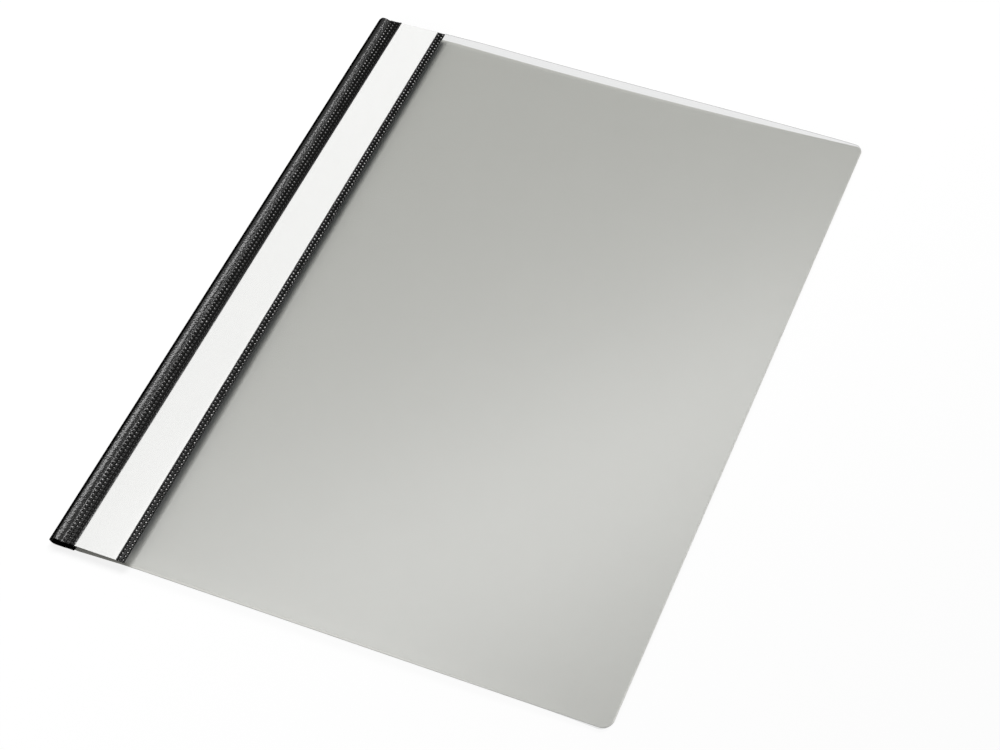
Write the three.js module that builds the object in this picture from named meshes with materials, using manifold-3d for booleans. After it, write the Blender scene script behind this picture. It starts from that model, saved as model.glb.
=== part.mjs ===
// An A4 plastic report file, closed and empty: a grey back cover, a black spine film with knurled
// weld seams, a paper title strip in a clear pocket, a clear front cover and a two-prong fastener.
// Sizes are millimetres. +X runs from the spine to the free edge, +Y up the page and +Z up.
// The origin is under the middle of the file, on the surface that it lies on.
import * as THREE from "three";
import { mergeVertices } from "three/addons/utils/BufferGeometryUtils.js";
import Module from "manifold-3d";

const wasm = await Module();
wasm.setup();

// Sheet thicknesses
const backSheet = 0.3;
const spineFilm = 0.3;
const clearSheet = 0.2;
const titlePaper = 0.2;

// Overall sizes
const overallWidth = 236;
const backLength = 310;
const filmOverhang = 1; // the title leaf and the front cover pass each end of the back cover
const frontSetback = 0.4; // the front cover stops this far short of the back cover's free edge
const lowerCornerRadius = 4.5;
const upperCornerRadius = 3;

// Spine
const innerHeight = 3.6; // clear height between the back cover and the title leaf
const beadRise = 0.8; // the bead's crown stands this far above the title leaf
const shoulderRun = 3.9; // from the bead's crown down to the spine weld seam
const foldGap = 0.2; // between two pieces that fold against each other
const shoulderSteps = 10;
const beadSteps = 20;

// Weld seams
const spineSeamWidth = 4.4;
const coverSeamWidth = 3.2;
const rearSeamWidth = 4.4;
const knurlPitch = 1.88; // from point to point along a row
const knurlRowPitch = 1.75; // from row to row
const knurlRowMargin = 0.4; // least distance from a row to the seam's edge
const knurlDepth = 0.2;
const weldValley = 0.15; // thickness of the fused film between the points

// Title pocket
const titleWidth = 18.8;
const titleSideSlack = 0.8;
const titleClearance = 0.1; // between the strip and the pocket's wall on the cover side
const titleFaceClearance = 0.05; // above and below the strip

// Front cover
const edgeGap = 0.3; // between the covers at the free edge
const droopPower = 4; // the cover stays level beside the crease and bends down near its edge
const droopSteps = 24;

// Back cover's step over the rear weld seam
const stepLead = 0.4;
const stepRun = 1.2;

// Fastener
const punchOffset = 12; // from the sheets' edge to the middle of their punched holes
const prongSpacing = 80;
const prongWidth = 4.6;
const prongLength = 35;
const prongThickness = 0.3;
const prongTipRadius = 2.2;
const prongClearance = 0.3;
const bendRadius = 0.3; // inside the bend of the fastener base
const filingStripWidth = 22;
const filingStripLength = 160;
const filingStripSheet = 0.3;
const filingStripRadius = 4;
const barWidth = 9.5;
const barOverhang = 12; // the bar passes the prongs' middle lines by this much
const barThickness = 0.8;
const barEdge = 0.4; // thickness along the bar's long edges
const barArcSteps = 10;
const slotClearance = 0.3;
const cornerSteps = 8;

// Lengths along the spine
const filmLength = backLength + 2 * filmOverhang;
const titleLength = filmLength; // the strip is flush with its pocket's ends
const barLength = prongSpacing + 2 * barOverhang;

// Heights above the surface that the file lies on
const seamTop = spineFilm + backSheet;
const filingStripBottom = backSheet + Math.max(spineFilm, prongThickness);
const filingStripTop = filingStripBottom + filingStripSheet;
const barTop = filingStripTop + barThickness;
const prongBottom = barTop + prongClearance;
const liningBottom = backSheet + innerHeight;
const liningTop = liningBottom + spineFilm;
const pocketTop = liningTop + titlePaper + 2 * titleFaceClearance;
const beadTop = liningTop + beadRise;
const frontEdgeBottom = backSheet + edgeGap;

// Places across the file, from the spine's outer edge
const beadRadius = beadTop / 2;
const spineSeamStart = beadRadius + shoulderRun;
const pocketStart = spineSeamStart + spineSeamWidth;
const pocketInside = pocketStart + clearSheet;
const titleStart = pocketInside + titleSideSlack;
const pocketWallStart = titleStart + titleWidth + titleClearance;
const coverSeamStart = pocketWallStart + clearSheet;
const leafEdge = coverSeamStart + coverSeamWidth;
const frontStart = leafEdge + foldGap;
const frontEdge = overallWidth - frontSetback;
const stepStart = spineSeamStart + rearSeamWidth + stepLead;
const stepEnd = stepStart + stepRun;
const prongLine = spineSeamStart + punchOffset;

const greySheet = new THREE.MeshStandardMaterial({ color: 0xc3c4be, roughness: 0.55 });
const blackFilm = new THREE.MeshStandardMaterial({ color: 0x151413, roughness: 0.45 });
const whitePaper = new THREE.MeshStandardMaterial({ color: 0xf4f4f2, roughness: 0.9 });
const tinplate = new THREE.MeshStandardMaterial({ color: 0xb9bcbf, roughness: 0.35, metalness: 1 });
const blackPlastic = new THREE.MeshStandardMaterial({ color: 0x1c1c1c, roughness: 0.5 });
const clearFilm = new THREE.MeshStandardMaterial({
  color: 0xf2f4f4,
  roughness: 0.15,
  transparent: true,
  opacity: 0.3,
});

function piece(name, geometry, material) {
  const mesh = new THREE.Mesh(geometry, material.clone());
  mesh.name = name;
  return mesh;
}

function shapeFrom(points) {
  return new THREE.Shape(points.map(([a, b]) => new THREE.Vector2(a, b)));
}

// A section in X and Z, drawn out to a length along Y and centred on Y = 0.
function alongSpine(section, length) {
  const geometry = new THREE.ExtrudeGeometry(section, { depth: length, bevelEnabled: false });
  return geometry.rotateX(Math.PI / 2).translate(0, length / 2, 0);
}

// A plan in X and Y, drawn up to a height along Z.
function upward(plan, height) {
  return new THREE.ExtrudeGeometry(plan, {
    depth: height,
    bevelEnabled: false,
    curveSegments: cornerSteps,
  });
}

function solidFrom(geometry) {
  const bare = new THREE.BufferGeometry();
  bare.setAttribute("position", geometry.getAttribute("position"));
  bare.setIndex(geometry.getIndex());
  const merged = mergeVertices(bare);
  return new wasm.Manifold(
    new wasm.Mesh({
      numProp: 3,
      vertProperties: merged.getAttribute("position").array,
      triVerts: new Uint32Array(merged.getIndex().array),
    }),
  );
}

function geometryFrom(solid) {
  const mesh = solid.getMesh();
  const geometry = new THREE.BufferGeometry();
  geometry.setAttribute("position", new THREE.BufferAttribute(mesh.vertProperties, mesh.numProp));
  geometry.setIndex(new THREE.BufferAttribute(mesh.triVerts, 1));
  geometry.computeVertexNormals();
  return geometry;
}

// A rectangle in plan whose corners on the +X side are round, the lower and the upper one each
// by a radius of its own.
function coverPlan(left, right, length, lowerRadius, upperRadius) {
  const low = -length / 2;
  const high = length / 2;
  const plan = new THREE.Shape();
  plan.moveTo(left, low);
  plan.lineTo(right - lowerRadius, low);
  plan.absarc(right - lowerRadius, low + lowerRadius, lowerRadius, -Math.PI / 2, 0);
  plan.lineTo(right, high - upperRadius);
  plan.absarc(right - upperRadius, high - upperRadius, upperRadius, 0, Math.PI / 2);
  plan.lineTo(left, high);
  plan.closePath();
  return plan;
}

// A sheet with a bent section, cut to a cover's outline.
function coverSheet(section, left, right, length) {
  const drawn = solidFrom(alongSpine(section, length));
  const plan = coverPlan(left, right, length, lowerCornerRadius, upperCornerRadius);
  return geometryFrom(drawn.intersect(solidFrom(upward(plan, beadTop))));
}

// The back cover lies on the rear weld seam, then steps down to the surface.
function backCover() {
  const section = shapeFrom([
    [spineSeamStart, spineFilm],
    [stepStart, spineFilm],
    [stepEnd, 0],
    [overallWidth, 0],
    [overallWidth, backSheet],
    [stepEnd, backSheet],
    [stepStart, seamTop],
    [spineSeamStart, seamTop],
  ]);
  const sheet = coverSheet(section, spineSeamStart, overallWidth, backLength);
  return piece("back_cover", sheet, greySheet);
}

// The front cover is level beside the crease and comes down to the back cover at its free edge.
function frontCover() {
  const drop = pocketTop - frontEdgeBottom;
  const underside = [];
  for (let step = 0; step <= droopSteps; step += 1) {
    const share = step / droopSteps;
    const x = frontStart + share * (frontEdge - frontStart);
    underside.push([x, pocketTop - drop * share ** droopPower]);
  }
  const face = underside.map(([x, z]) => [x, z + clearSheet]).reverse();
  const section = shapeFrom([...underside, ...face]);
  const sheet = coverSheet(section, frontStart, frontEdge, filmLength);
  return piece("clear_front_cover", sheet, clearFilm);
}

// Half a tube, open towards the sheets. Its ends lean out from the back cover's end at the bottom
// to the title leaf's end at the crown.
function spineBead() {
  const section = new THREE.Shape();
  const quarter = Math.PI / 2;
  section.absarc(beadRadius, beadRadius, beadRadius, quarter, 3 * quarter, false);
  section.absarc(beadRadius, beadRadius, beadRadius - spineFilm, 3 * quarter, quarter, true);
  const outline = new THREE.Shape(section.extractPoints(beadSteps).shape);
  const side = shapeFrom([
    [-backLength / 2, 0],
    [backLength / 2, 0],
    [filmLength / 2, beadTop],
    [-filmLength / 2, beadTop],
  ]);
  const lean = upward(side, beadRadius).rotateX(Math.PI / 2).rotateZ(Math.PI / 2);
  const bead = solidFrom(alongSpine(outline, filmLength)).intersect(solidFrom(lean));
  return piece("spine_bead", geometryFrom(bead), blackFilm);
}

function rearLeaf() {
  const start = beadRadius + foldGap;
  const section = shapeFrom([
    [start, 0],
    [spineSeamStart, 0],
    [spineSeamStart, spineFilm],
    [start, spineFilm],
  ]);
  return piece("spine_rear_leaf", alongSpine(section, backLength), blackFilm);
}

// The film comes down from the bead's crown in a smooth shoulder and runs level under the pocket.
function titleLeafLining() {
  const face = [];
  const start = beadRadius + foldGap;
  for (let step = 0; step <= shoulderSteps; step += 1) {
    const x = start + (step / shoulderSteps) * (spineSeamStart - start);
    const turn = (Math.PI * (x - beadRadius)) / shoulderRun;
    face.push([x, liningTop + (beadRise * (1 + Math.cos(turn))) / 2]);
  }
  face.push([leafEdge, liningTop]);
  const underside = face.map(([x, z]) => [x, z - spineFilm]);
  const section = shapeFrom([...underside, ...face.reverse()]);
  return piece("title_leaf_lining", alongSpine(section, filmLength), blackFilm);
}

// A welded band with a flat underside at Z = 0 and, on its face, staggered rows of small points.
// The face is a grid of heights with half a pitch from line to line: every second crossing of a
// row is a point. The walls and the underside have one vertex for each group of lines.
function knurledBand(width, length, valley, peak) {
  const linesPerGroup = 8;
  const groups = Math.round(length / (knurlPitch / 2) / linesPerGroup);
  const lines = groups * linesPerGroup;
  const rows = Math.floor((width - 2 * knurlRowMargin) / knurlRowPitch) + 1;
  const firstRow = (width - (rows - 1) * knurlRowPitch) / 2;
  const columns = [0, width];
  for (let row = 0; row < rows; row += 1) {
    columns.splice(row + 1, 0, firstRow + row * knurlRowPitch);
  }

  const positions = [];
  const faceVertex = (column, line) => column * (lines + 1) + line;
  const isPoint = (column, line) =>
    column > 0 && column <= rows && line > 0 && line < lines && (column + line) % 2 === 0;
  columns.forEach((x, column) => {
    for (let line = 0; line <= lines; line += 1) {
      const y = (line / lines - 1 / 2) * length;
      positions.push(x, y, isPoint(column, line) ? peak : valley);
    }
  });
  const faceCount = positions.length / 3;
  const underVertex = (side, group) => faceCount + side * (groups + 1) + group;
  [0, width].forEach((x) => {
    for (let group = 0; group <= groups; group += 1) {
      positions.push(x, (group / groups - 1 / 2) * length, 0);
    }
  });

  const index = [];
  for (let column = 0; column <= rows; column += 1) {
    for (let line = 0; line < lines; line += 1) {
      const near = faceVertex(column, line);
      const right = faceVertex(column + 1, line);
      const far = faceVertex(column, line + 1);
      const opposite = faceVertex(column + 1, line + 1);
      if ((column + line) % 2 === 0) {
        index.push(near, right, far, right, opposite, far);
      } else {
        index.push(near, right, opposite, near, opposite, far);
      }
    }
  }
  const lastColumn = rows + 1;
  for (let group = 0; group < groups; group += 1) {
    const [low, high] = [underVertex(0, group), underVertex(0, group + 1)];
    const [lowRight, highRight] = [underVertex(1, group), underVertex(1, group + 1)];
    index.push(low, high, lowRight, lowRight, high, highRight);
    const firstLine = group * linesPerGroup;
    for (let line = firstLine; line < firstLine + linesPerGroup; line += 1) {
      index.push(low, faceVertex(0, line), faceVertex(0, line + 1));
      index.push(lowRight, faceVertex(lastColumn, line + 1), faceVertex(lastColumn, line));
    }
    const lastLine = firstLine + linesPerGroup;
    index.push(low, faceVertex(0, lastLine), high);
    index.push(lowRight, highRight, faceVertex(lastColumn, lastLine));
  }
  for (let column = 0; column <= rows; column += 1) {
    index.push(underVertex(0, 0), faceVertex(column + 1, 0), faceVertex(column, 0));
    index.push(
      underVertex(0, groups),
      faceVertex(column, lines),
      faceVertex(column + 1, lines),
    );
  }
  index.push(underVertex(0, 0), underVertex(1, 0), faceVertex(lastColumn, 0));
  index.push(underVertex(0, groups), faceVertex(lastColumn, lines), underVertex(1, groups));

  const geometry = new THREE.BufferGeometry();
  geometry.setAttribute("position", new THREE.Float32BufferAttribute(positions, 3));
  geometry.setIndex(index);
  geometry.computeVertexNormals();
  return geometry;
}

function frontSeam(name, start, width) {
  const band = knurledBand(width, filmLength, weldValley, weldValley + knurlDepth);
  const seam = piece(name, band, blackFilm);
  seam.position.set(start, 0, liningTop);
  return seam;
}

// The rear seam is turned over, so that its points look down and its back carries the back cover.
function rearSeam() {
  const band = knurledBand(rearSeamWidth, backLength, spineFilm - knurlDepth, spineFilm);
  const seam = piece("rear_weld_seam", band, blackFilm);
  seam.rotation.y = Math.PI;
  seam.position.set(spineSeamStart + rearSeamWidth, 0, spineFilm);
  return seam;
}

// The clear film over the title strip, with its two edges turned down to the lining.
function pocketFilm() {
  const top = pocketTop + clearSheet;
  const section = shapeFrom([
    [pocketStart, liningTop],
    [pocketInside, liningTop],
    [pocketInside, pocketTop],
    [pocketWallStart, pocketTop],
    [pocketWallStart, liningTop],
    [coverSeamStart, liningTop],
    [coverSeamStart, top],
    [pocketStart, top],
  ]);
  return piece("title_pocket_film", alongSpine(section, filmLength), clearFilm);
}

function titleStrip() {
  const sheet = new THREE.BoxGeometry(titleWidth, titleLength, titlePaper);
  const strip = piece("title_strip", sheet, whitePaper);
  const height = liningTop + titleFaceClearance + titlePaper / 2;
  strip.position.set(titleStart + titleWidth / 2, 0, height);
  return strip;
}

// A slot that a prong passes through, centred on the prong.
function prongSlot(y) {
  const halfWidth = prongWidth / 2 + slotClearance;
  const halfDepth = prongThickness / 2 + slotClearance;
  return [
    new THREE.Vector2(prongLine - halfWidth, y - halfDepth),
    new THREE.Vector2(prongLine + halfWidth, y - halfDepth),
    new THREE.Vector2(prongLine + halfWidth, y + halfDepth),
    new THREE.Vector2(prongLine - halfWidth, y + halfDepth),
  ];
}

const prongPlaces = [-prongSpacing / 2, prongSpacing / 2];

function filingStrip() {
  const edge = spineSeamStart + filingStripWidth;
  const radius = filingStripRadius;
  const plan = coverPlan(spineSeamStart, edge, filingStripLength, radius, radius);
  prongPlaces.forEach((y) => plan.holes.push(new THREE.Path(prongSlot(y))));
  const strip = piece("filing_strip", upward(plan, filingStripSheet), blackFilm);
  strip.position.z = filingStripBottom;
  return strip;
}

// A tinplate strip under the filing strip, with both ends bent up through it.
function fastenerBase() {
  const outside = prongSpacing / 2 + prongThickness / 2;
  const inside = outside - prongThickness;
  const outerBend = bendRadius + prongThickness;
  const endHeight = barTop - backSheet;
  const quarter = Math.PI / 2;
  const section = new THREE.Shape();
  section.moveTo(-outside, endHeight);
  section.absarc(outerBend - outside, outerBend, outerBend, 2 * quarter, 3 * quarter);
  section.absarc(outside - outerBend, outerBend, outerBend, 3 * quarter, 4 * quarter);
  section.lineTo(outside, endHeight);
  section.lineTo(inside, endHeight);
  section.absarc(outside - outerBend, outerBend, bendRadius, 4 * quarter, 3 * quarter, true);
  section.absarc(outerBend - outside, outerBend, bendRadius, 3 * quarter, 2 * quarter, true);
  section.lineTo(-inside, endHeight);
  section.closePath();
  const strip = upward(section, prongWidth);
  strip.rotateX(Math.PI / 2).rotateZ(Math.PI / 2);
  const base = piece("fastener_base", strip, tinplate);
  base.position.set(prongLine - prongWidth / 2, 0, backSheet);
  return base;
}

// A prong lies folded over the bar and points to the middle of the file.
function prong(name, y) {
  const half = prongWidth / 2;
  const root = -prongThickness / 2;
  const plan = new THREE.Shape();
  plan.moveTo(root, -half);
  plan.lineTo(prongLength - prongTipRadius, -half);
  plan.absarc(prongLength - prongTipRadius, prongTipRadius - half, prongTipRadius, -Math.PI / 2, 0);
  plan.absarc(prongLength - prongTipRadius, half - prongTipRadius, prongTipRadius, 0, Math.PI / 2);
  plan.lineTo(root, half);
  plan.closePath();
  const flap = piece(name, upward(plan, prongThickness), tinplate);
  flap.rotation.z = y > 0 ? -Math.PI / 2 : Math.PI / 2;
  flap.position.set(prongLine, y, prongBottom);
  return flap;
}

// The bar has a crowned face, round ends and a slot for each prong.
function compressorBar() {
  const half = barWidth / 2;
  const crown = [];
  for (let step = 0; step <= barArcSteps; step += 1) {
    const across = 1 - (2 * step) / barArcSteps;
    crown.push([half * across, barEdge + (barThickness - barEdge) * (1 - across ** 2)]);
  }
  const section = shapeFrom([[-half, 0], [half, 0], ...crown]);
  const plan = new THREE.Shape();
  const roundStart = barLength / 2 - half;
  plan.absarc(0, -roundStart, half, Math.PI, 2 * Math.PI);
  plan.absarc(0, roundStart, half, 0, Math.PI);
  plan.closePath();
  let solid = solidFrom(alongSpine(section, barLength));
  solid = solid.intersect(solidFrom(upward(plan, barThickness)));
  prongPlaces.forEach((y) => {
    const cut = upward(new THREE.Shape(prongSlot(y)), 2 * barThickness);
    solid = solid.subtract(solidFrom(cut.translate(-prongLine, 0, -barThickness / 2)));
  });
  const bar = piece("compressor_bar", geometryFrom(solid), blackPlastic);
  bar.position.set(prongLine, 0, filingStripTop);
  return bar;
}

// One group for each part of the file that moves as a whole.
function groupOf(...pieces) {
  const group = new THREE.Group();
  group.add(...pieces);
  return group;
}

const back = groupOf(backCover(), rearLeaf(), rearSeam(), filingStrip(), fastenerBase());
const fastener = groupOf(
  prong("lower_prong", prongPlaces[0]),
  prong("upper_prong", prongPlaces[1]),
  compressorBar(),
);
const titleLeaf = groupOf(
  titleLeafLining(),
  frontSeam("spine_weld_seam", spineSeamStart, spineSeamWidth),
  frontSeam("cover_weld_seam", coverSeamStart, coverSeamWidth),
  pocketFilm(),
  titleStrip(),
);
const file = groupOf(back, fastener, spineBead(), titleLeaf, frontCover());
file.position.x = -overallWidth / 2;

export default groupOf(file);
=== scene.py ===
"""Looks for an A4 plastic report file: a grey back cover, a black grained spine film with knurled
weld seams, a paper title strip behind a clear window, and a clear front cover.
Sizes are millimetres from the spine's outer edge, the middle of the length and the floor."""

import math

import bpy
from mathutils import Matrix, Quaternion, Vector


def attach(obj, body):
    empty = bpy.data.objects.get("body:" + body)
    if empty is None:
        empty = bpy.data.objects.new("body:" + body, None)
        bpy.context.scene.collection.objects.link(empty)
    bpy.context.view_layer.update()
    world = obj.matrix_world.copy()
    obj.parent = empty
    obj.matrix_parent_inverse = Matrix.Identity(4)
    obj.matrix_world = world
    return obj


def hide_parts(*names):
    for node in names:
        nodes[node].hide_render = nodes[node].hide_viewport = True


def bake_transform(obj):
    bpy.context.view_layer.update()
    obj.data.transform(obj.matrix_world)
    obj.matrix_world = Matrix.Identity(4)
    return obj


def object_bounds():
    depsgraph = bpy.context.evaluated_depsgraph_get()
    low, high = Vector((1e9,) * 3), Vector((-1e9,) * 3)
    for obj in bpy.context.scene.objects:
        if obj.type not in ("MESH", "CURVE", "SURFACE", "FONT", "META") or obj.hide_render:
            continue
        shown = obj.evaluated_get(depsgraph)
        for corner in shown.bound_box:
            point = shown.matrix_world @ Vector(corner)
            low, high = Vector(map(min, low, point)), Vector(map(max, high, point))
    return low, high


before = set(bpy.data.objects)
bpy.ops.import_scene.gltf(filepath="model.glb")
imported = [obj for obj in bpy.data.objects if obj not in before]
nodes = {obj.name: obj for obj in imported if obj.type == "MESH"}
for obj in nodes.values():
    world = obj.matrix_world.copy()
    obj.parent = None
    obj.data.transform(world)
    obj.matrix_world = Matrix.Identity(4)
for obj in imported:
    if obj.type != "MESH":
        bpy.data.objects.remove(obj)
cad_low, cad_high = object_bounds()

MM = 0.001

# Covers
OVERALL_WIDTH = 236.0
BACK_LENGTH = 310.0
FILM_LENGTH = 312.0
BACK_SHEET = 0.3
CLEAR_SHEET = 0.2
LOWER_CORNER = 4.5
UPPER_CORNER = 3.0
CORNER_STEPS = 10
COVER_ROWS = 60  # vertices along each line of a cover
BACK_SPACING = 9.0  # from one line of vertices to the next across the back cover
FRONT_SPACING = 6.0  # and across the front cover
BACK_STEP_START = 11.2  # the back cover lies on the film up to here, and is black
BACK_STEP_END = 12.4  # and on the floor from here
LOWER_BOW = 1.1  # the back cover's lower edge bows out by this much at the spine
LOWER_TRIM = 0.25  # and is this much inside its nominal place elsewhere
BOW_RUN = 30.0  # run over which that bow ends
BACK_SAG = 0.95  # the covers' upper edges sag by this much at SAG_MIDDLE, and rise beside it
FRONT_SAG = 1.45
SAG_MIDDLE = 142.0
SAG_RUN = 72.0  # run over which an upper edge rises by a millimetre
FRONT_START = 34.3
FRONT_EDGE = 235.6
FRONT_TOP = 4.5  # underside of the front cover beside its crease
FRONT_EDGE_BOTTOM = 0.6
DROOP_POWER = 4
SHADE_LINE_START = 5 * LOWER_CORNER - BACK_LENGTH / 2  # the clear cover's cut edge is painted dark from here up, as a shade line

# Spine film
FILM = 0.3
BEAD_RADIUS = 2.5
LEAF_TOP = 4.2
BEAD_RISE = 0.8
SHOULDER_RUN = 3.9
CROWN_FLAT = 0.85  # run of the bead's level top
SHOULDER_RADIUS = 3.1  # of the bend beside the crown
SHOULDER_ARC = 1.5  # run of that bend; from there the film slopes straight down to the leaf
FLANK_FLAT = 0.5  # the film is drawn flat on the bead's upper flank by this much
FLANK_DIRECTION = (0.88, -0.47)  # and moves this way there
BEAD_STEPS = 14  # from the bead's outermost line to its top, and to its bottom
BEAD_SINK = 0.03  # the bead's height changes along the spine by this much times its waves
BEAD_WAVES = ((1.0, 0.071, 0.4), (0.7, 0.173, 1.9), (0.4, 0.391, 0.0))  # height, pace, phase
BEAD_WAVES_TOP = 2.1
SPINE_SEAM = (6.4, 10.8)
COVER_SEAM = (30.9, 34.1)
REAR_SEAM = (6.4, 10.8)
LEAF_EDGE = 34.1
ROW_LENGTH = 4.0  # distance from one line of vertices across the file to the next
FILM_GAP = 0.02  # between two films that lie on each other
FILM_ROWS = round(FILM_LENGTH / ROW_LENGTH) + 1
CREASE = [(LEAF_EDGE - 0.15, LEAF_TOP + FILM_GAP), (LEAF_EDGE, 4.3), (34.2, 4.42), (34.3, 4.49)]
CREASE_END = 34.5

# Knurled weld seams
KNURL_PITCH = 1.88
KNURL_ROW_PITCH = 1.75
KNURL_RADIUS = 0.76
KNURL_DEPTH = 0.16
KNURL_STEPS = 10  # vertices from one knurl to the next along a row
KNURL_CELL = 0.19  # vertices' spacing across a seam
KNURL_MARGIN = 0.4  # least distance of a row of knurls from a seam's edge
WELD_VALLEY = 0.15
REAR_VALLEY = 0.1
SEAM_LIP = 0.25  # width of the lip along each edge of a seam
SEAM_LIP_SHARE = 0.35  # height of a seam's outer edge, as a share of its valley
SPINE_GLINT_FADE = (7.6, 10.4, 1.0, 0.6)  # painted glint on the spine seam's tips, fading darker towards the window: two places and its shares

# Title window
WINDOW = (10.7, 31.0)
WINDOW_TOP = 4.7
WINDOW_CROWN = 0.08
WINDOW_SHEET = CLEAR_SHEET * 0.75
WINDOW_FOOT = 0.8  # width of the film's rise from each seam
WINDOW_STEPS = 12
WINDOW_MARGINS = (12.0, 30.5)  # the window is clear from here to there, and black beside it
LINING_INSET = 1.0  # the black film stops short of the window's ends by this much

# Camera
LENS = 80.68
SENSOR = 36.0
CAMERA_PLACE = (272.02, -522.76, 729.40)
CAMERA_AZIMUTH = 26.815
CAMERA_ELEVATION = 52.147
CAMERA_ROLL = -5.087

# Studio
AMBIENT = 0.16
FLOOR_GLOW = 0.8
FLOOR_ALBEDO = 0.18
FLOOR_HALF = 12.0  # metres
FLOOR_DROP = 0.05
LAMPS = (  # name, place in metres, direction of the longer side, size in metres, watts
    ("softbox", (-0.28, 0.567, 1.181), (-0.784, -0.614, 0.092), (1.13, 0.24), 17.9),
    ("front_fill", (-0.5, -1.25, 0.44), (1.0, -0.4, 0.0), (1.4, 0.5), 14.0),
)

# Tones of materials, each at its place on a scale from 0 to 1
BLACK_TONES = [(0.2, (0.0035, 0.0032, 0.003)), (0.8, (0.0015, 0.0014, 0.0013))]
# the palest weld tones are a painted glint on the knurls' tips
WELD_GLINT_TONES = [
    (0.35, (0.0012, 0.0011, 0.001)),
    (0.6, (0.02, 0.0194, 0.0188)),
    (0.88, (0.6, 0.594, 0.588)),
]
GREY_TONES = [(0.3, (0.4, 0.4, 0.367)), (0.7, (0.428, 0.428, 0.393))]
# the grey cut edge's dark tones are a painted shade line
GREY_CUT_SHADE_TONES = [(0.3, (0.17, 0.17, 0.156)), (0.7, (0.21, 0.21, 0.194))]
PAPER_TONES = [(0.3, (0.85, 0.85, 0.835)), (0.7, (0.87, 0.87, 0.855))]
TINPLATE_TONES = [(0.3, (0.6, 0.61, 0.62)), (0.7, (0.74, 0.75, 0.76))]
PLASTIC_TONES = [(0.3, (0.012, 0.012, 0.0125)), (0.7, (0.022, 0.022, 0.0225))]


def place(x, y, z):
    """A point in metres from its millimetres across, along and above the file."""
    return (cad_low.x + x * MM, y * MM, z * MM)


# ---------------------------------------------------------------- mesh making


def mesh_piece(name, vertices, faces, sharp=35):
    """A piece with smooth faces, but for edges that are sharper than an angle in degrees."""
    mesh = bpy.data.meshes.new(name)
    mesh.from_pydata([place(*v) for v in vertices], [], faces)
    mesh.validate()
    mesh.polygons.foreach_set("use_smooth", [True] * len(mesh.polygons))
    mesh.set_sharp_from_angle(angle=math.radians(sharp))
    piece = bpy.data.objects.new(name, mesh)
    bpy.context.scene.collection.objects.link(piece)
    return piece


def sheet_faces(columns, rows):
    """Faces of a closed sheet: two grids of columns by rows, the upper one first, and its four
    edges."""
    lower = columns * rows

    def at(column, row, side=0):
        return side * lower + column * rows + row

    faces = []
    for column in range(columns - 1):
        for row in range(rows - 1):
            quad = [(column, row), (column + 1, row), (column + 1, row + 1), (column, row + 1)]
            faces.append([at(c, r) for c, r in quad])
            faces.append([at(c, r, 1) for c, r in reversed(quad)])
    for column in range(columns - 1):
        first, last = column, column + 1
        faces.append([at(first, 0), at(first, 0, 1), at(last, 0, 1), at(last, 0)])
        end = rows - 1
        faces.append([at(last, end), at(last, end, 1), at(first, end, 1), at(first, end)])
    for row in range(rows - 1):
        faces.append([at(0, row + 1), at(0, row + 1, 1), at(0, row, 1), at(0, row)])
        end = columns - 1
        faces.append([at(end, row), at(end, row, 1), at(end, row + 1, 1), at(end, row + 1)])
    return faces


def drawn_sheet(name, upper, lower, ends, rows, shift=None, sharp=35):
    """A sheet drawn along the spine. upper and lower are its section's (x, z) on both faces, and
    ends(x, z) gives where a line along it starts and stops."""
    vertices = []
    for section in (upper, lower):
        for x, z in section:
            low, high = ends(x, z)
            for row in range(rows):
                y = low + (high - low) * row / (rows - 1)
                dx, dz = shift(x, y, z) if shift else (0, 0)
                vertices.append((x + dx, y, z + dz))
    return mesh_piece(name, vertices, sheet_faces(len(upper), rows), sharp)


def straight_ends(x, z):
    """Ends of a film that is cut straight."""
    return -FILM_LENGTH / 2, FILM_LENGTH / 2


def cover_ends(right, length):
    """Ends of a cover whose two free corners are round."""

    def inset(x, radius):
        past = max(0.0, x - (right - radius))
        return radius - math.sqrt(max(0.0, radius**2 - past**2))

    return lambda x, z: (
        inset(x, LOWER_CORNER) - length / 2,
        length / 2 - inset(x, UPPER_CORNER),
    )


def upper_wave(x, sag, limit):
    """How far a cover's upper edge lies past its nominal place, up to a limit."""
    return min(limit, ((x - SAG_MIDDLE) / SAG_RUN) ** 2 - sag)


def cover_columns(left, right, spacing):
    """Places across a cover, close together where its corners are round."""
    flat_end = right - LOWER_CORNER
    count = max(1, round((flat_end - left) / spacing))
    columns = [left + (flat_end - left) * i / count for i in range(count)]
    for step in range(CORNER_STEPS + 1):
        angle = math.pi / 2 * step / CORNER_STEPS
        columns.append(flat_end + LOWER_CORNER * math.sin(angle))
    return columns


# ---------------------------------------------------------------- pieces


def back_cover():
    """The grey sheet, from the rear weld seam on the film down to the floor."""
    left = REAR_SEAM[0]
    xs = [left, BACK_STEP_START] + cover_columns(BACK_STEP_END, OVERALL_WIDTH, BACK_SPACING)

    def bottom(x):
        return 0.0 if x >= BACK_STEP_END else FILM

    outline = cover_ends(OVERALL_WIDTH, BACK_LENGTH)

    def ends(x, z):
        low, high = outline(x, z)
        low += LOWER_TRIM - LOWER_BOW * max(0.0, 1 - (x - left) / BOW_RUN)
        return low, high + upper_wave(x, BACK_SAG, (FILM_LENGTH - BACK_LENGTH) / 2)

    upper = [(x, bottom(x) + BACK_SHEET) for x in xs]
    lower = [(x, bottom(x)) for x in xs]
    return drawn_sheet("back_cover_sheet", upper, lower, ends, COVER_ROWS)


def front_height(x):
    """Height of the front cover's underside."""
    share = min(1.0, max(0.0, (x - FRONT_START) / (FRONT_EDGE - FRONT_START)))
    return FRONT_TOP - (FRONT_TOP - FRONT_EDGE_BOTTOM) * share**DROOP_POWER


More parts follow.
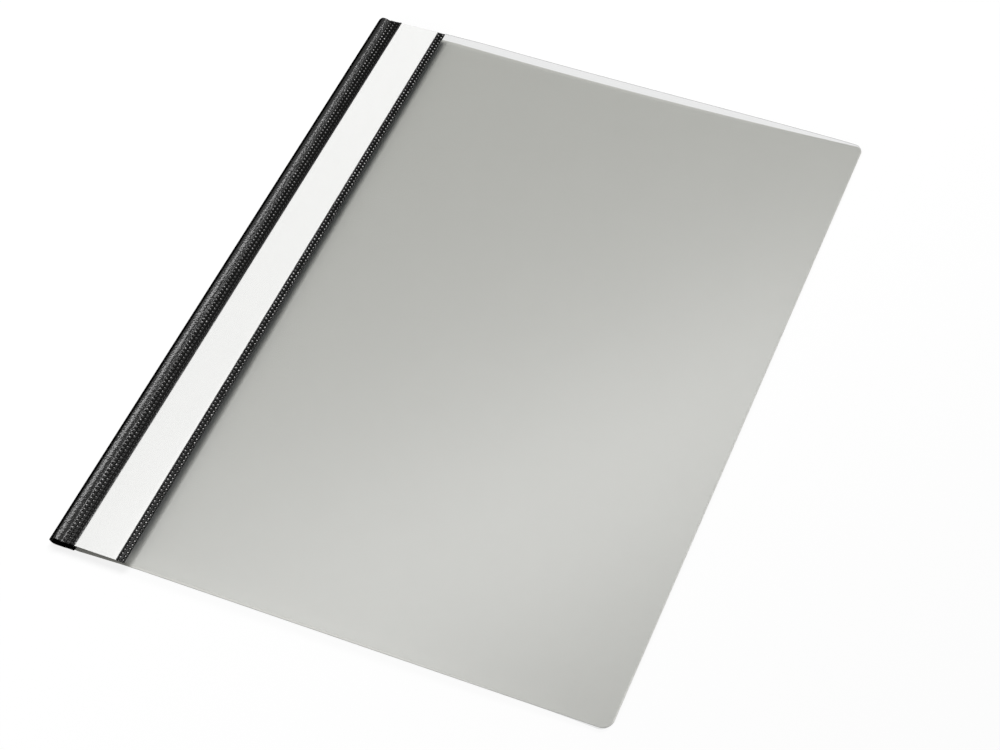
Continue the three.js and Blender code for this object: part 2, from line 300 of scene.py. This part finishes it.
def front_cover():
    """The clear sheet, from its crease beside the cover seam down to its free edge."""
    xs = cover_columns(CREASE_END, FRONT_EDGE, FRONT_SPACING)
    lower = CREASE + [(x, front_height(x)) for x in xs]
    upper = [(x, z + CLEAR_SHEET) for x, z in lower]
    outline = cover_ends(FRONT_EDGE, FILM_LENGTH)

    def ends(x, z):
        low, high = outline(x, z)
        return low, high + upper_wave(x, FRONT_SAG, 0.0)

    return drawn_sheet("front_cover_sheet", upper, lower, ends, COVER_ROWS)


def film_ends(x, z):
    """Ends of the film: it stops short of the title window's ends between the two seams."""
    inset = LINING_INSET if WINDOW[0] + 0.5 < x < WINDOW[1] - 0.5 else 0.0
    return inset - FILM_LENGTH / 2, FILM_LENGTH / 2 - inset


def bead_arc(stop, radius):
    """Points on the bead's circle, from its outermost line up to an angle in degrees."""
    points = []
    for step in range(BEAD_STEPS + 1):
        angle = math.radians(stop * step / BEAD_STEPS)
        points.append(
            (BEAD_RADIUS - radius * math.cos(angle), BEAD_RADIUS + radius * math.sin(angle))
        )
    return points


def bead_unevenness(x, y, z):
    """The film is drawn over nothing, so its bead is flatter on its upper flank, and sinks in and
    out a little along the spine."""
    reach = max(0.0, 1 - abs(x - BEAD_RADIUS) / SHOULDER_RUN)
    wave = sum(high * math.sin(y * pace + phase) for high, pace, phase in BEAD_WAVES)
    sink = BEAD_SINK * reach * max(0.0, z / (2 * BEAD_RADIUS)) * (BEAD_WAVES_TOP + wave)
    flank = 0.0
    if x < BEAD_RADIUS and z > BEAD_RADIUS:
        angle = math.atan2(z - BEAD_RADIUS, BEAD_RADIUS - x)
        flank = FLANK_FLAT * math.sin(2 * angle)
    aside, up = FLANK_DIRECTION
    return flank * aside, flank * up - sink


def shoulder_height(run):
    """Height of the film at a run from the bead's crown."""
    past = max(0.0, run - CROWN_FLAT)
    arc = min(past, SHOULDER_ARC)
    drop = arc**2 / (2 * SHOULDER_RADIUS) + (past - arc) * SHOULDER_ARC / SHOULDER_RADIUS
    return LEAF_TOP + max(0.0, BEAD_RISE - drop)


def shoulder_runs():
    """Runs from the crown at which the shoulder's section has a point."""
    slope = SHOULDER_ARC / SHOULDER_RADIUS
    foot = CROWN_FLAT + SHOULDER_ARC + (BEAD_RISE - SHOULDER_ARC * slope / 2) / slope
    runs = [CROWN_FLAT / 2]
    runs += [CROWN_FLAT + SHOULDER_ARC * step / 8 for step in range(9)]
    return runs + [foot, SHOULDER_RUN]


def spine_film():
    """The film from the bead's outermost line over the bead and under the title window."""
    upper = bead_arc(90, BEAD_RADIUS)
    lower = bead_arc(90, BEAD_RADIUS - FILM)
    for run in shoulder_runs():
        z = shoulder_height(run)
        upper.append((BEAD_RADIUS + run, z))
        lower.append((BEAD_RADIUS + run, z - FILM))
    for x in (SPINE_SEAM[1], WINDOW[0] + 0.6, 20.0, WINDOW[1] - 0.6, COVER_SEAM[0], LEAF_EDGE):
        upper.append((x, LEAF_TOP))
        lower.append((x, LEAF_TOP - FILM))
    return drawn_sheet("spine_film", upper, lower, film_ends, FILM_ROWS, bead_unevenness, sharp=20)


def rear_film():
    """The film's other half: from the bead's outermost line down to the rear weld seam."""
    outer = bead_arc(-90, BEAD_RADIUS)
    inner = bead_arc(-90, BEAD_RADIUS - FILM)
    for x in (4.0, REAR_SEAM[0]):
        outer.append((x, 0.0))
        inner.append((x, FILM))
    return drawn_sheet("rear_film", inner, outer, straight_ends, FILM_ROWS)


def knurl_height(x, y, width):
    """Height of a seam's face over its valley: domes in staggered rows."""
    rows = int((width - 2 * KNURL_MARGIN) / KNURL_ROW_PITCH) + 1
    first = (width - (rows - 1) * KNURL_ROW_PITCH) / 2
    row = min(rows - 1, max(0, round((x - first) / KNURL_ROW_PITCH)))
    stagger = KNURL_PITCH / 2 if row % 2 else 0.0
    along = (y - stagger) / KNURL_PITCH
    distance = math.hypot(x - first - row * KNURL_ROW_PITCH, (along - round(along)) * KNURL_PITCH)
    return KNURL_DEPTH * (1 + math.cos(math.pi * min(1.0, distance / KNURL_RADIUS))) / 2


def seam_band(name, band, base, valley, turned=False):
    """A knurled band. Its flat side is at the height base, and its knurls stand on a valley of
    fused film. They point up, or down if the band is turned."""
    width = band[1] - band[0]
    columns = round(width / KNURL_CELL) + 1
    rows = round(FILM_LENGTH / KNURL_PITCH * KNURL_STEPS) + 1
    sign = -1 if turned else 1
    vertices = []
    for side in (0, 1):
        for column in range(columns):
            across = width * column / (columns - 1)
            lip = min(1.0, min(across, width - across) / SEAM_LIP)
            for row in range(rows):
                along = FILM_LENGTH * (row / (rows - 1) - 0.5)
                height = 0.0
                if side == 0:
                    height = valley * (SEAM_LIP_SHARE + (1 - SEAM_LIP_SHARE) * lip)
                    height += lip * knurl_height(across, along, width)
                vertices.append((band[0] + across, along, base + sign * height))
    faces = sheet_faces(columns, rows)
    if turned:
        faces = [list(reversed(face)) for face in faces]
    return mesh_piece(name, vertices, faces, sharp=60)


def title_window():
    """The clear film over the title strip, fused into both seams."""
    left, right = WINDOW
    low = LEAF_TOP + FILM_GAP
    high = WINDOW_TOP - CLEAR_SHEET
    foot = [(left, low), (left + 0.25, low + 0.12), (left + 0.5, high - 0.06)]
    foot.append((left + WINDOW_FOOT, high))
    section = foot + [(WINDOW_MARGINS[0], high + 0.01)]
    for step in range(1, WINDOW_STEPS):
        share = step / WINDOW_STEPS
        x = left + WINDOW_FOOT + (right - left - 2 * WINDOW_FOOT) * share
        section.append((x, high + WINDOW_CROWN * math.sin(math.pi * share)))
    section += [(left + right - x, z) for x, z in reversed(foot)]
    upper = [(x, z + WINDOW_SHEET) for x, z in section]
    return drawn_sheet("title_window", upper, section, straight_ends, FILM_ROWS)


# ---------------------------------------------------------------- materials


class Finish:
    """A node material built around one Principled shader."""

    def __init__(self, name, color, roughness, **sockets):
        self.material = bpy.data.materials.new(name)
        self.material.use_nodes = True
        tree = self.material.node_tree
        self.nodes, self.links = tree.nodes, tree.links
        self.shader = self.nodes["Principled BSDF"]
        self.shader.inputs["Base Color"].default_value = (*color, 1)
        self.shader.inputs["Roughness"].default_value = roughness
        for socket, value in sockets.items():
            self.shader.inputs[socket.replace("_", " ")].default_value = value
        self.space = self.nodes.new("ShaderNodeTexCoord").outputs["Object"]

    def stretched(self, scale):
        """The object's own space, stretched by a scale for each axis."""
        mapping = self.nodes.new("ShaderNodeMapping")
        mapping.inputs["Scale"].default_value = scale
        self.links.new(self.space, mapping.inputs["Vector"])
        return mapping.outputs["Vector"]

    def noise(self, per_mm, detail=2.0, roughness=0.5, vector=None):
        node = self.nodes.new("ShaderNodeTexNoise")
        node.inputs["Scale"].default_value = per_mm / MM
        node.inputs["Detail"].default_value = detail
        node.inputs["Roughness"].default_value = roughness
        self.links.new(vector or self.space, node.inputs["Vector"])
        return node.outputs["Fac"]

    def cells(self, per_mm):
        node = self.nodes.new("ShaderNodeTexVoronoi")
        node.inputs["Scale"].default_value = per_mm / MM
        self.links.new(self.space, node.inputs["Vector"])
        return node.outputs["Distance"]

    def math(self, operation, first, second):
        node = self.nodes.new("ShaderNodeMath")
        node.operation = operation
        for socket, value in zip(node.inputs, (first, second)):
            if isinstance(value, (int, float)):
                socket.default_value = value
            else:
                self.links.new(value, socket)
        return node.outputs["Value"]

    def blended(self, first, first_share, second, second_share):
        """The sum of two values, each times its share."""
        first = self.math("MULTIPLY", first, first_share)
        return self.math("ADD", first, self.math("MULTIPLY", second, second_share))

    def ramp(self, factor, stops):
        node = self.nodes.new("ShaderNodeValToRGB")
        ramp = node.color_ramp
        while len(ramp.elements) < len(stops):
            ramp.elements.new(0.5)
        for element, (position, color) in zip(ramp.elements, stops):
            element.position = position
            element.color = (*color, 1)
        self.links.new(factor, node.inputs["Fac"])
        return node.outputs["Color"]

    def range(self, value, low, high):
        node = self.nodes.new("ShaderNodeMapRange")
        node.inputs["To Min"].default_value = low
        node.inputs["To Max"].default_value = high
        self.links.new(value, node.inputs["Value"])
        return node.outputs["Result"]

    def along_axis(self, axis, low, high, start, end):
        """start where the axis reads low, and end where it reads high, both in metres."""
        parts = self.nodes.new("ShaderNodeSeparateXYZ")
        self.links.new(self.space, parts.inputs["Vector"])
        node = self.nodes.new("ShaderNodeMapRange")
        node.inputs["From Min"].default_value = low
        node.inputs["From Max"].default_value = high
        node.inputs["To Min"].default_value = start
        node.inputs["To Max"].default_value = end
        self.links.new(parts.outputs[axis], node.inputs["Value"])
        return node.outputs["Result"]

    def height(self, low, high):
        """0 at the height low and 1 at the height high, both in millimetres."""
        return self.along_axis("Z", low * MM, high * MM, 0.0, 1.0)

    def across(self, low, high, start, end):
        """start at low and end at high, both in millimetres across the file."""
        return self.along_axis("X", cad_low.x + low * MM, cad_low.x + high * MM, start, end)

    def color(self, socket):
        self.links.new(socket, self.shader.inputs["Base Color"])

    def roughness(self, socket):
        self.links.new(socket, self.shader.inputs["Roughness"])

    def dull_at_grazing(self):
        """Fine texture keeps the surface from shining where it is seen edge-on."""
        weight = self.nodes.new("ShaderNodeLayerWeight")
        node = self.nodes.new("ShaderNodeMapRange")
        facing = (("From Min", 0.27), ("From Max", 0.47), ("To Min", 0.5), ("To Max", 0.0))
        for socket, value in facing:
            node.inputs[socket].default_value = value
        self.links.new(weight.outputs["Facing"], node.inputs["Value"])
        self.links.new(node.outputs["Result"], self.shader.inputs["Specular IOR Level"])

    def bump(self, height, depth_mm, strength=1.0):
        node = self.nodes.new("ShaderNodeBump")
        node.inputs["Strength"].default_value = strength
        node.inputs["Distance"].default_value = depth_mm * MM
        self.links.new(height, node.inputs["Height"])
        self.links.new(node.outputs["Normal"], self.shader.inputs["Normal"])


def film_grain(finish):
    """Fine leather grain: cells of under a millimetre with finer folds in them."""
    cell = finish.cells(1.25)
    fine = finish.noise(2.6, 3.0, 0.6)
    return finish.blended(cell, 1.1, fine, 0.3)


def black_film():
    """Black PVC film with a fine leather grain."""
    finish = Finish("black_film_grained", (0.003, 0.0028, 0.0026), 0.18, IOR=1.37)
    grain = film_grain(finish)
    finish.color(finish.ramp(grain, BLACK_TONES))
    finish.roughness(finish.range(grain, 0.14, 0.22))
    finish.bump(grain, -0.075)
    finish.dull_at_grazing()
    return finish.material


def welded_film(name, valley, tip, glint_fade=None):
    """Black film fused under a knurled tool. The knurls' tips, at the height tip in millimetres,
    carry a painted glint, paler than the valleys. With a glint_fade, that painted glint is darker
    towards one side."""
    finish = Finish(name, (0.003, 0.0028, 0.0026), 0.2, IOR=1.15)
    grain = film_grain(finish)
    height = finish.height(valley, tip)
    # painted glint: the knurls' tips get a pale tone that grows with height and varies at random
    painted_glint = finish.math("MULTIPLY", height, finish.range(finish.noise(0.35, 2.0), 0.45, 1.4))
    if glint_fade:
        painted_glint = finish.math("MULTIPLY", painted_glint, finish.across(*glint_fade))
    finish.color(finish.ramp(painted_glint, WELD_GLINT_TONES))
    finish.roughness(finish.range(height, 0.16, 0.4))
    finish.bump(grain, -0.004)
    finish.dull_at_grazing()
    return finish.material


def grey_sheet():
    """Opaque grey PVC with a fine matt embossing and a faint mottle."""
    finish = Finish("grey_pvc", (0.412, 0.412, 0.379), 0.4, IOR=1.65)
    fine = finish.noise(2.2, 2.0)
    broad = finish.noise(0.03, 2.0)
    mottle = finish.noise(0.85, 2.0)
    finish.color(finish.ramp(finish.blended(mottle, 0.8, broad, 0.2), GREY_TONES))
    finish.roughness(finish.range(fine, 0.38, 0.42))
    finish.bump(fine, 0.02, 0.6)
    return finish.material


def grey_cut_painted_shade():
    """The grey sheet's cut edge: rougher than its faces, and painted darker as a shade line along
    the sheet's edge.
    """
    finish = Finish("grey_pvc_cut_painted_shade", (0.19, 0.19, 0.175), 0.6)
    marks = finish.noise(1.5, 2.0)
    finish.color(finish.ramp(marks, GREY_CUT_SHADE_TONES))
    finish.bump(marks, 0.02, 0.5)
    return finish.material


def clear_film(name, color, alpha, index):
    """Clear PVC: see-through, glossy and very finely embossed."""
    finish = Finish(name, color, 0.25, Alpha=alpha, IOR=index)
    finish.bump(finish.noise(1.6, 2.0), 0.01, 0.5)
    return finish.material


def title_paper():
    """Smooth white paper with faint fibres."""
    finish = Finish("title_paper", (0.86, 0.86, 0.845), 0.85)
    fibres = finish.noise(1.2, 4.0, 0.65, finish.stretched((1.0, 0.35, 1.0)))
    finish.color(finish.ramp(fibres, PAPER_TONES))
    finish.bump(fibres, 0.02, 0.4)
    return finish.material


def tinplate():
    """Rolled tinplate with fine lines along the strip."""
    finish = Finish("tinplate", (0.66, 0.67, 0.68), 0.3, Metallic=1.0)
    lines = finish.noise(3.0, 3.0, 0.6, finish.stretched((1.0, 0.04, 1.0)))
    finish.color(finish.ramp(lines, TINPLATE_TONES))
    finish.roughness(finish.range(lines, 0.22, 0.38))
    finish.bump(lines, 0.008, 0.6)
    return finish.material


def black_plastic():
    """Moulded black plastic with a fine spark-eroded texture."""
    finish = Finish("moulded_plastic", (0.016, 0.016, 0.0165), 0.45)
    fine = finish.noise(2.4, 3.0)
    finish.color(finish.ramp(fine, PLASTIC_TONES))
    finish.roughness(finish.range(fine, 0.36, 0.52))
    finish.bump(fine, 0.02, 0.6)
    return finish.material


# ---------------------------------------------------------------- stage


def light_path_white(tree):
    """1 for the rays that see the background directly, in a reflection or through glass."""
    path = tree.nodes.new("ShaderNodeLightPath")
    total = path.outputs["Is Camera Ray"]
    for output in ("Is Glossy Ray", "Is Transmission Ray"):
        node = tree.nodes.new("ShaderNodeMath")
        node.operation = "MAXIMUM"
        tree.links.new(total, node.inputs[0])
        tree.links.new(path.outputs[output], node.inputs[1])
        total = node.outputs["Value"]
    return total


def make_world():
    """Soft light from all sides, which the camera sees as white."""
    world = bpy.data.worlds.new("studio")
    bpy.context.scene.world = world
    world.use_nodes = True
    tree = world.node_tree
    soft = tree.nodes["Background"]
    soft.inputs["Color"].default_value = (1, 1, 1, 1)
    soft.inputs["Strength"].default_value = AMBIENT
    white = tree.nodes.new("ShaderNodeBackground")
    white.inputs["Color"].default_value = (1, 1, 1, 1)
    white.inputs["Strength"].default_value = 1
    mix = tree.nodes.new("ShaderNodeMixShader")
    tree.links.new(light_path_white(tree), mix.inputs["Fac"])
    tree.links.new(soft.outputs["Background"], mix.inputs[1])
    tree.links.new(white.outputs["Background"], mix.inputs[2])
    tree.links.new(mix.outputs["Shader"], tree.nodes["World Output"].inputs["Surface"])


def make_floor():
    """A pale floor. It glows for the rays that see it, so that it is white outside the shadow."""
    mesh = bpy.data.meshes.new("floor")
    corners = [(-1, -1), (1, -1), (1, 1), (-1, 1)]
    corners = [(x * FLOOR_HALF, y * FLOOR_HALF, -FLOOR_DROP * MM) for x, y in corners]
    mesh.from_pydata(corners, [], [(0, 1, 2, 3)])
    floor = bpy.data.objects.new("floor", mesh)
    bpy.context.scene.collection.objects.link(floor)
    material = bpy.data.materials.new("floor_white")
    material.use_nodes = True
    tree = material.node_tree
    tree.nodes.remove(tree.nodes["Principled BSDF"])
    matt = tree.nodes.new("ShaderNodeBsdfDiffuse")
    matt.inputs["Color"].default_value = (FLOOR_ALBEDO, FLOOR_ALBEDO, FLOOR_ALBEDO, 1)
    light = tree.nodes.new("ShaderNodeEmission")
    light.inputs["Color"].default_value = (1, 1, 1, 1)
    strength = tree.nodes.new("ShaderNodeMath")
    strength.operation = "MULTIPLY"
    strength.inputs[1].default_value = FLOOR_GLOW
    tree.links.new(light_path_white(tree), strength.inputs[0])
    tree.links.new(strength.outputs["Value"], light.inputs["Strength"])
    total = tree.nodes.new("ShaderNodeAddShader")
    tree.links.new(matt.outputs["BSDF"], total.inputs[0])
    tree.links.new(light.outputs["Emission"], total.inputs[1])
    tree.links.new(total.outputs["Shader"], tree.nodes["Material Output"].inputs["Surface"])
    mesh.materials.append(material)


def area_light(name, location, along, size, power):
    """A lamp aimed at the middle of the file. Its longer side points along a direction."""
    data = bpy.data.lights.new(name, "AREA")
    data.shape = "RECTANGLE"
    data.size, data.size_y = size
    data.energy = power
    light = bpy.data.objects.new(name, data)
    bpy.context.scene.collection.objects.link(light)
    back = Vector(location).normalized()
    side = Vector(along)
    side = (side - back * side.dot(back)).normalized()
    turn = Matrix((side, back.cross(side), back)).transposed().to_4x4()
    light.matrix_world = Matrix.Translation(location) @ turn


def make_camera():
    """The photograph's camera."""
    data = bpy.data.cameras.new("camera")
    data.lens = LENS
    data.sensor_width = SENSOR
    data.clip_start, data.clip_end = 0.01, 50.0
    camera = bpy.data.objects.new("camera", data)
    bpy.context.scene.collection.objects.link(camera)
    azimuth, elevation = math.radians(CAMERA_AZIMUTH), math.radians(CAMERA_ELEVATION)
    back = Vector(
        (
            math.sin(azimuth) * math.cos(elevation),
            -math.cos(azimuth) * math.cos(elevation),
            math.sin(elevation),
        )
    )
    camera.location = Vector(CAMERA_PLACE) * MM
    camera.rotation_mode = "QUATERNION"
    level = (-back).to_track_quat("-Z", "Y")
    camera.rotation_quaternion = level @ Quaternion((0, 0, 1), math.radians(CAMERA_ROLL))
    bpy.context.scene.camera = camera


# ---------------------------------------------------------------- assembly


def dress(piece, material):
    """Gives a piece its material, in its one slot."""
    piece.data.materials.clear()
    piece.data.materials.append(material)


def dress_faces(piece, material, chosen):
    """The faces for which chosen(face) is true get one more material."""
    index = len(piece.data.materials)
    piece.data.materials.append(material)
    for face in piece.data.polygons:
        if chosen(face):
            face.material_index = index


def dress_cut_edges(piece, material, from_y=-BACK_LENGTH):
    """The narrow faces around a cover, which come after its two sides, get one more material,
    from a place along the spine on."""
    columns = len(piece.data.vertices) // (2 * COVER_ROWS)
    first = 2 * (columns - 1) * (COVER_ROWS - 1)
    dress_faces(piece, material, lambda face: face.index >= first and face.center.y > from_y * MM)


def refinish(node, material):
    """Gives a CAD node a new material."""
    for slot in nodes[node].material_slots:
        slot.material = material


def build():
    """Makes every piece, hides the CAD parts it replaces, and attaches some pieces to the body
    they ride on.
    """
    grained = black_film()
    front_valley, rear_valley = LEAF_TOP + WELD_VALLEY, FILM - REAR_VALLEY
    front_tip = front_valley + KNURL_DEPTH
    welded = welded_film("black_film_welded", front_valley, front_tip)
    # the spine seam's painted glint fades darker towards the window
    welded_spine = welded_film("black_film_welded_spine", front_valley, front_tip, SPINE_GLINT_FADE)
    welded_rear = welded_film("black_film_welded_rear", rear_valley, rear_valley - KNURL_DEPTH)
    grey = grey_sheet()
    cover_film = clear_film("clear_pvc", (0.07, 0.08, 0.078), 0.115, 1.5)
    # the clear cover's cut edge: dark, nearly opaque film that paints a shade line along the edge
    cut_edge = clear_film("clear_pvc_cut_painted_shade", (0.05, 0.055, 0.06), 0.8, 1.5)
    window_film = clear_film("clear_window", (0.1, 0.11, 0.12), 0.05, 1.8)

    back = back_cover()
    dress(back, grey)
    # the grey sheet's cut edge is painted dark, as a shade line
    dress_cut_edges(back, grey_cut_painted_shade())
    black_end = place(BACK_STEP_START, 0, 0)[0]
    dress_faces(back, grained, lambda face: face.center.x < black_end)
    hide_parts("back_cover")
    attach(back, "back")

    front = front_cover()
    dress(front, cover_film)
    dress_cut_edges(front, cut_edge, SHADE_LINE_START)
    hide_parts("clear_front_cover")
    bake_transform(front)

    film = spine_film()
    dress(film, grained)
    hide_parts("spine_bead", "title_leaf_lining")
    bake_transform(film)

    rear = rear_film()
    dress(rear, grained)
    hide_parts("spine_rear_leaf")
    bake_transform(rear)

    for name, band, finish in (("spine", SPINE_SEAM, welded_spine), ("cover", COVER_SEAM, welded)):
        seam = seam_band(name + "_seam_band", band, LEAF_TOP, WELD_VALLEY)
        dress(seam, finish)
        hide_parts(name + "_weld_seam")
        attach(seam, "title_leaf")
    rear_seam = seam_band("rear_seam_band", REAR_SEAM, FILM, REAR_VALLEY, turned=True)
    dress(rear_seam, welded_rear)
    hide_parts("rear_weld_seam")
    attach(rear_seam, "back")

    window = title_window()
    dress(window, window_film)
    clear_from, clear_to = (place(x, 0, 0)[0] for x in WINDOW_MARGINS)
    dress_faces(window, grained, lambda face: not clear_from < face.center.x < clear_to)
    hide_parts("title_pocket_film")
    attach(window, "title_leaf")

    refinish("title_strip", title_paper())
    refinish("filing_strip", grained)
    metal = tinplate()
    for node in ("fastener_base", "lower_prong", "upper_prong"):
        refinish(node, metal)
    refinish("compressor_bar", black_plastic())


build()
make_world()
make_floor()
for lamp in LAMPS:
    area_light(*lamp)
make_camera()
bpy.context.scene.view_settings.view_transform = "Standard"
